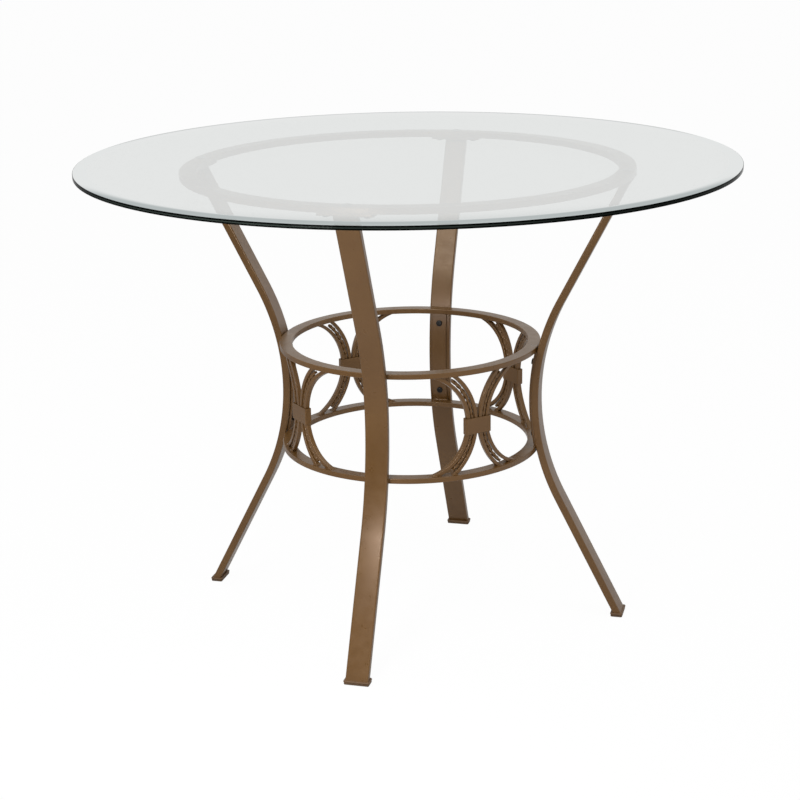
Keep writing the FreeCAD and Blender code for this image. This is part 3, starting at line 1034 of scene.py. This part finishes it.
@dataclass
class Crescents:
    """The crescent pairs between the rings: bars, twisted strips, collars and weld beads."""

    basket: Basket
    inner_radius: float = 109.0
    outer_radius: float = 90.62
    pair_gap: float = 1.4
    bar_thickness: float = 5.8
    bar_depth: float = 7.4
    bar_corner: float = 0.9
    bar_rows: int = 57
    slot: float = 7.4
    strip_thickness: float = 4.4
    strip_width: float = 5.44
    strip_corner: float = 0.7
    half_pitch: float = 20.0
    half_turn_rows: int = 16
    end_gap: float = 5.0
    collar_height: float = 26.5
    collar_wall: float = 1.0
    collar_clearance: float = 0.2
    collar_drop: float = 5.0
    collar_corner: float = 1.5
    collar_edge: float = 0.4
    weld: Weld = Weld(1.6, 1.7, 3)

    @property
    def inner_place(self) -> float:
        """Return how far the inner bar's near side stands from the pair's middle at the waist."""
        return self.pair_gap / 2

    @property
    def outer_place(self) -> float:
        """Return how far the outer bar's near side stands from the pair's middle at the waist."""
        return self.inner_place + self.bar_thickness + self.slot

    @property
    def waist(self) -> float:
        """Return the height of the crescents' middle."""
        return self.basket.line.waist_height

    def build(self) -> None:
        """Build the two crescents and the collar of every pair."""
        inner, outer = (self.inner_place, self.inner_radius), (self.outer_place, self.outer_radius)
        pieces = {
            "inner_bar": joined([self.bar(*inner), self.bar_welds(*inner)]),
            "outer_bar": joined([self.bar(*outer), self.bar_welds(*outer)]),
            "twist": self.twist(),
        }
        collar = self.collar()
        for corner in Corner:
            word, turn = corner.word, corner.value
            make_piece(f"{word}_band", collar.turned(turn), f"{word}_collar")
            for name, skin in pieces.items():
                for hand, shape in (("a", skin.mirrored()), ("b", skin)):
                    make_piece(f"{word}_{hand}_{name}", shape.turned(turn), f"{word}_crescent_{hand}_{name}")

    def bar(self, place: float, bend: float) -> Skin:
        """Return one bar of the crescent on the +Y side of the pair on +X, wrapped on the basket's round.

        Its outline has the bar's bend as one axis and the basket's radius as the other. At a share t of its
        half length, a point with bend radius p stands at the angle t * asin(half opening / p) round the
        bend's centre. A point at radius r and y across stands at sqrt(r^2 - y^2) along +X.

        Args:
            place: Where the bar's near side stands at the waist, from the pair's middle.
            bend: Radius of that side.

        Returns:
            The bar, cut level at the rings.
        """
        outline = rounded_outline(self.bar_thickness, self.bar_depth, self.bar_corner)
        share = np.linspace(-1.0, 1.0, self.bar_rows)[:, None]
        crescent = bend - self.bar_thickness / 2 + outline[:, 0]
        angle = share * np.arcsin(self.basket.half_opening / crescent)
        across = place + bend - crescent * np.cos(angle)
        outwards = np.sqrt((self.basket.middle_radius + outline[:, 1]) ** 2 - across ** 2)
        return rolled(np.stack([outwards, across, self.waist + crescent * np.sin(angle)], axis=-1))

    def bar_welds(self, place: float, bend: float) -> Skin:
        """Return the weld beads at both ends of a bar, in front and behind it.

        Args:
            place: Where the bar's near side stands at the waist, from the pair's middle.
            bend: Radius of that side.

        Returns:
            The beads.
        """
        middle = bend - self.bar_thickness / 2
        angle = math.asin(self.basket.half_opening / middle)
        swing = math.asin((place + bend - middle * math.cos(angle)) / self.basket.middle_radius)
        outwards = spokes(swing)
        centres = [outwards * (self.basket.middle_radius + sign * self.bar_depth / 2) + Z_AXIS * height
                   for sign in (-1, 1) for height in reversed(self.basket.facing_heights)]
        return self.weld.row(self.bar_thickness, centres, spokes(swing + math.pi / 2), outwards)

    def twist(self) -> Skin:
        """Return the twisted strip of the crescent on the +Y side of the pair on +X.

        Its outline runs along the middle of the slot and turns evenly, half a turn in each half pitch.

        Returns:
            The strip.
        """
        path_radius = (self.inner_radius - self.bar_thickness + self.outer_radius) / 2
        path_place = self.inner_place + self.bar_thickness + self.slot / 2
        reach = math.asin((self.basket.half_opening - self.end_gap - self.strip_thickness / 2) / path_radius)
        half_turns = round(2 * reach * path_radius / self.half_pitch)
        share = np.linspace(0.0, 1.0, half_turns * self.half_turn_rows + 1)[:, None]
        along = reach * (2 * share - 1)
        turn = np.pi * (0.5 + half_turns * share)
        swing = np.arcsin((path_place + path_radius * (1 - np.cos(along[:, 0]))) / self.basket.middle_radius)
        outwards = spokes(swing)
        across = spokes(swing + np.pi / 2) * np.cos(along) - Z_AXIS * np.sin(along)
        path = outwards * self.basket.middle_radius + Z_AXIS * (self.waist + path_radius * np.sin(along))
        first = across * np.cos(turn) + outwards * np.sin(turn)
        second = outwards * np.cos(turn) - across * np.sin(turn)
        strip = rounded_outline(self.strip_width, self.strip_thickness, self.strip_corner, SMALL_CORNER_STEPS)
        return rolled(carried(path, first, second, strip))

    def collar(self) -> Skin:
        """Return the collar round the pair on +X: its wall's outline carried round a rounded rectangle."""
        belly = self.outer_radius - self.bar_thickness
        far_end = self.collar_height / 2 + self.collar_drop
        centre = self.outer_place + self.outer_radius
        side = centre - math.sqrt(belly ** 2 - far_end ** 2) + self.collar_clearance
        inner = self.basket.middle_radius - self.bar_depth / 2
        front = self.basket.middle_radius + self.bar_depth / 2 + self.collar_clearance
        back = math.sqrt(inner ** 2 - side ** 2) - self.collar_clearance
        plan = rounded_outline(front - back + self.collar_wall, 2 * side + self.collar_wall,
                               self.collar_corner - self.collar_wall / 2)
        middle = np.array([(front + back) / 2, 0.0, self.waist - self.collar_drop])
        path = np.pad(plan, ((0, 0), (0, 1))) + middle
        wall = rounded_outline(self.collar_wall, self.collar_height, self.collar_edge, SMALL_CORNER_STEPS)
        upwards = np.broadcast_to(Z_AXIS, path.shape)
        return rolled(carried(path, spokes(corner_angles().ravel()), upwards, wall), loop=True)


@dataclass
class Fasteners:
    """The button-head bolts of the straps and of the leg plates. The hidden nuts are kept from the frame."""

    basket: Basket
    ring: TopRing
    shank_radius: float = 3.0
    shank_length: float = 10.0
    tip_chamfer: float = 0.6
    head_radius: float = 5.25
    head_height: float = 3.2
    head_round: float = 1.6
    head_rows: int = 6
    socket_width: float = 4.0
    socket_depth: float = 1.8
    socket_chamfer: float = 0.25
    socket_flare: float = 1.12
    segments: int = 48
    strap_rise: float = 61.5
    plate_spacing: float = 62.0

    def build(self) -> None:
        """Build the bolts of all four legs and repaint the nuts."""
        for node, pair in (("strap_bolts", self.strap_pair()), ("plate_bolts", self.plate_pair())):
            make_piece(f"{node}_set", at_every_leg(pair), node, Slot.BOLT)
        for node in ("strap_nuts", "plate_nuts"):
            repaint(node, *FINISHES[Slot.NUT])

    def bolt(self) -> Skin:
        """Return a bolt along +Z, its head under the XY plane.

        The profile is turned about +Z, and inside the socket the circle gives way to a hexagon: the radius at
        angle a is half the width across flats over cos(a mod 60 degrees - 30 degrees).

        Returns:
            The bolt.
        """
        angle = whole_turn(self.segments)
        hexagon = self.socket_width / 2 / np.cos(np.mod(angle, np.pi / 3) - np.pi / 6)
        crown = np.linspace(0.0, np.pi / 2, self.head_rows)
        rounded = np.stack([self.head_radius - self.head_round + self.head_round * np.sin(crown),
                            -self.head_height + self.head_round * (1 - np.cos(crown))], axis=-1)
        mouth = np.array([[1.0, self.socket_depth], [1.0, self.socket_chamfer], [self.socket_flare, 0.0]])
        mouth -= [0.0, self.head_height]
        stem = np.array([[self.head_radius, 0.0], [self.shank_radius, 0.0],
                         [self.shank_radius, self.shank_length - self.tip_chamfer],
                         [self.shank_radius - self.tip_chamfer, self.shank_length]])
        socket = mouth[:, :1, None] * hexagon[:, None] * spokes(angle) + mouth[:, 1:, None] * Z_AXIS
        outside = lathe(np.concatenate([rounded, stem]), self.segments)
        return rolled(np.concatenate([socket, outside]))

    def strap_pair(self) -> Skin:
        """Return the two bolts of the strap on +X, square to the strap's inner face."""
        offset = self.basket.strap_offset + self.basket.strap_thickness / 2
        line, bolt = self.basket.line, self.bolt()
        tilt = math.asin(self.strap_rise / (line.bend_radius + offset))
        stations = line.stations(offset, np.array([tilt, -tilt]))
        return joined([bolt.placed(point, up, Y_AXIS, -inward) for point, up, inward in zip(*stations)])

    def plate_pair(self) -> Skin:
        """Return the two bolts of the leg plate on +X, pointing up into the top ring."""
        bolt = self.bolt().moved([self.ring.middle_radius, 0.0, self.basket.line.top])
        return joined([bolt.moved(sign * self.plate_spacing / 2 * Y_AXIS) for sign in (-1, 1)])


# Floor, light and camera


@dataclass(frozen=True)
class Lamp:
    """A soft panel lamp that faces a target, with places and sizes in metres and its power in watts."""

    name: str
    place: Triple
    size: Pair
    power: float
    target: Triple = (0.0, 0.0, 0.4)
    mirrored: bool = True

    def build(self) -> None:
        """Build the lamp, hidden from the camera and, unless it is mirrored, from shiny surfaces."""
        data = bpy.data.lights.new(self.name, "AREA")
        data.shape = "RECTANGLE"
        data.size, data.size_y = self.size
        data.energy = self.power
        lamp = linked(self.name, data)
        lamp.location = self.place
        aim = Vector(self.target) - Vector(self.place)
        lamp.rotation_euler = aim.to_track_quat("-Z", "Y").to_euler()
        lamp.visible_camera = False
        lamp.visible_glossy = self.mirrored


@dataclass
class Studio:
    """A plain pale floor, soft white light and the camera.

    The floor's ramps are in metres along their axes, and the sky's are in heights and sideways shares of a
    direction.
    """

    camera_place: Triple = (720.58, -2790.20, 1244.31)
    camera_heading: float = 14.843
    camera_tilt: float = 72.823
    camera_roll: float = -0.935
    lens: float = 80.83
    sensor_width: float = 36.0
    sight: float = 200.0
    floor_size: float = 60000.0
    floor_grain: float = 3.0
    floor_dark: Triple = (0.48, 0.48, 0.48)
    floor_light: Triple = (0.52, 0.52, 0.52)
    floor_seen: Triple = (0.9, 0.9, 0.9)
    floor_white: float = 0.965
    # Painted levels of the floor in mirrors: dark in front and to the left, a painted shade under the table,
    # white to the right.
    floor_front: float = 0.12
    floor_under: float = 0.38
    floor_left: float = 0.12
    floor_right: float = 0.85
    front_ramp: Pair = (-1.4, -0.3)
    back_ramp: Pair = (1.5, 5.0)
    left_ramp: Pair = (-0.9, -0.35)
    right_ramp: Pair = (0.55, 1.2)
    sky_light: float = 0.5
    sky_ramp: Pair = (0.22, 0.32)
    sky_above: Triple = (0.59, 0.625, 0.63)
    front_shade: float = 0.4
    shade_ramp: Pair = (-0.5, 0.3)
    shade_rise: Pair = (0.06, 0.2)
    # The card is a dark sheet that paints a dark reflection on the front leg's bend; only mirrors see it.
    card_place: Triple = (-120.0, -750.0, 345.0)
    card_width: float = 340.0
    card_height: float = 290.0
    card_weave: float = 40.0
    card_dark: Triple = (0.01, 0.01, 0.01)
    card_light: Triple = (0.02, 0.02, 0.02)
    lamps: tuple[Lamp, ...] = (
        Lamp("overhead_panel", (0.2, -0.3, 3.0), (2.6, 2.6), 32.0),
        Lamp("upper_front_box", (-0.65, -1.9, 2.38), (1.0, 0.8), 14.0, (0.0, 0.25, 0.55)),
        Lamp("low_front_box", (-0.1, -0.9, 0.705), (0.136, 0.136), 2.1, (0.0, -0.27, 0.19)),
        Lamp("near_front_fill", (0.0, -0.95, 0.24), (0.4, 0.4), 1.25, (0.0, -0.25, 0.24), mirrored=False),
        Lamp("left_panel", (-2.8, -1.2, 1.6), (1.2, 1.8), 9.0, mirrored=False),
        Lamp("right_panel", (2.8, -0.35, 1.1), (1.0, 1.4), 8.0, mirrored=False),
    )

    def build(self) -> None:
        """Build the floor, the sky, the card, the lamps and the camera."""
        self.floor()
        self.sky()
        self.card()
        for lamp in self.lamps:
            lamp.build()
        self.camera()
        bpy.context.scene.view_settings.view_transform = "Standard"

    @staticmethod
    def sheet(name: str, centre: Sequence[float], first: Points, second: Points,
              material: bpy.types.Material) -> bpy.types.Object:
        """Build a flat piece of the stage.

        Args:
            name: Name of the piece.
            centre: Its middle, in millimetres.
            first: From its middle to one side.
            second: From its middle to the next side.
            material: Its material.

        Returns:
            The piece's object.
        """
        corners = [first * across + second * along for across, along in ((-1, -1), (1, -1), (1, 1), (-1, 1))]
        mesh = bpy.data.meshes.new(name)
        mesh.from_pydata(((np.array(centre) + corners) * MM).tolist(), [], [(0, 1, 2, 3)])
        mesh.materials.append(material)
        piece = linked(name, mesh)
        return piece

    def floor(self) -> None:
        """Build the floor: white to the eye, with the table's shadow on it.

        In mirrors it glows with painted levels: white far behind and to the right, a painted grey shade under
        the table, and dark in front and to the left.
        """
        graph = Graph.material("pale_floor")
        path = graph.add("LightPath", {})
        eye = graph.worked("MAXIMUM", path["Is Camera Ray"], path["Is Transmission Ray"])
        grain = graph.patchy(self.floor_grain, self.floor_dark, self.floor_light)
        matt = graph.add("BsdfDiffuse", {"Color": graph.blended(eye, grain, self.floor_seen)})[0]
        glow = graph.add("Emission", {"Color": WHITE, "Strength": 1.0})[0]
        axes = graph.add("SeparateXYZ", {"Vector": graph.place})
        # Painted reflection: levels that only mirrors see, with a painted shade under the table.
        near = graph.ranged(axes["Y"], self.floor_front, self.floor_under, self.front_ramp)
        far = graph.ranged(axes["Y"], 0.0, 1.0 - self.floor_under, self.back_ramp)
        right = graph.ranged(axes["X"], 0.0, self.floor_right - self.floor_under, self.right_ramp)
        left = graph.ranged(axes["X"], self.floor_left - self.floor_under, 0.0, self.left_ramp)
        level = graph.worked("ADD", graph.worked("ADD", near, left), graph.worked("MAXIMUM", far, right))
        mirrored = graph.worked("MULTIPLY", path["Is Glossy Ray"], level)
        seen = graph.worked("MULTIPLY", eye, self.floor_white)
        shader = graph.mixed(graph.worked("MAXIMUM", seen, mirrored), matt, glow)
        half = self.floor_size / 2
        self.sheet("floor", (0.0, 0.0, 0.0), half * X_AXIS, half * Y_AXIS, graph.finish(shader))

    def sky(self) -> None:
        """Build the sky: white to the eye, softer as light, and in mirrors white low down and greyer above.

        In mirrors it also darkens towards -Y near the floor, as a studio does on the camera's side.
        """
        world = bpy.data.worlds.new("white_sky")
        bpy.context.scene.world = world
        graph = Graph(world, "ShaderNodeOutputWorld")
        path = graph.add("LightPath", {})
        axes = graph.add("SeparateXYZ", {"Vector": graph.place})
        rise = graph.ranged(axes["Z"], 0.0, 1.0, self.sky_ramp, "SMOOTHSTEP")
        ahead = graph.ranged(axes["Y"], 1.0 - self.front_shade, 0.0, self.shade_ramp, "SMOOTHSTEP")
        low = graph.ranged(axes["Z"], 1.0, 0.0, self.shade_rise, "SMOOTHSTEP")
        lit = graph.blended(rise, WHITE, self.sky_above)
        mirrored = graph.blended(graph.worked("MULTIPLY", ahead, low), lit, BLACK)
        colour = graph.blended(path["Is Glossy Ray"], WHITE, mirrored)
        eye = graph.worked("MAXIMUM", path["Is Camera Ray"], path["Is Transmission Ray"])
        seen = graph.worked("MAXIMUM", eye, path["Is Glossy Ray"])
        level = graph.ranged(seen, self.sky_light, 1.0, (0.0, 1.0))
        graph.finish(graph.add("Background", {"Color": colour, "Strength": level})[0])

    def card(self) -> None:
        """Build the upright dark card that paints a dark reflection on the bend of the front leg. It shows in
        nothing else.
        """
        graph = Graph.material("dark_card")
        painted_dark_reflection = graph.patchy(self.card_weave, self.card_dark, self.card_light)
        material = graph.finish(graph.add("BsdfDiffuse", {"Color": painted_dark_reflection})[0])
        across, upwards = self.card_width / 2 * X_AXIS, self.card_height / 2 * Z_AXIS
        card = self.sheet("dark_card", self.card_place, across, upwards, material)
        # Seen by mirrors only: a dark sheet that paints a dark reflection.
        card.visible_camera = card.visible_diffuse = card.visible_transmission = card.visible_shadow = False

    def camera(self) -> None:
        """Build the camera at the photograph's place, turned by its heading, tilt and roll."""
        data = bpy.data.cameras.new("camera")
        data.sensor_width = self.sensor_width
        data.lens = self.lens
        data.clip_end = self.sight
        camera = linked("camera", data)
        camera.matrix_world = Matrix.Translation(Vector(self.camera_place) * MM)
        for angle, axis in ((self.camera_heading, "Z"), (self.camera_tilt, "X"), (self.camera_roll, "Z")):
            camera.matrix_world = camera.matrix_world @ Matrix.Rotation(math.radians(angle), 4, axis)
        bpy.context.scene.camera = camera


def main() -> None:
    """Build every sub-assembly in order, then the studio."""
    logging.basicConfig(level=logging.INFO, format="%(name)s %(message)s")
    ring, line = TopRing(), LegLine()
    basket = Basket(line)
    assemblies = (GlassTop(ring), ring, Legs(line, ring), basket, Crescents(basket), Fasteners(basket, ring))
    for assembly in assemblies:
        LOG.info("building %s", type(assembly).__name__)
        assembly.build()
    Studio().build()


if __name__ == "__main__":
    main()
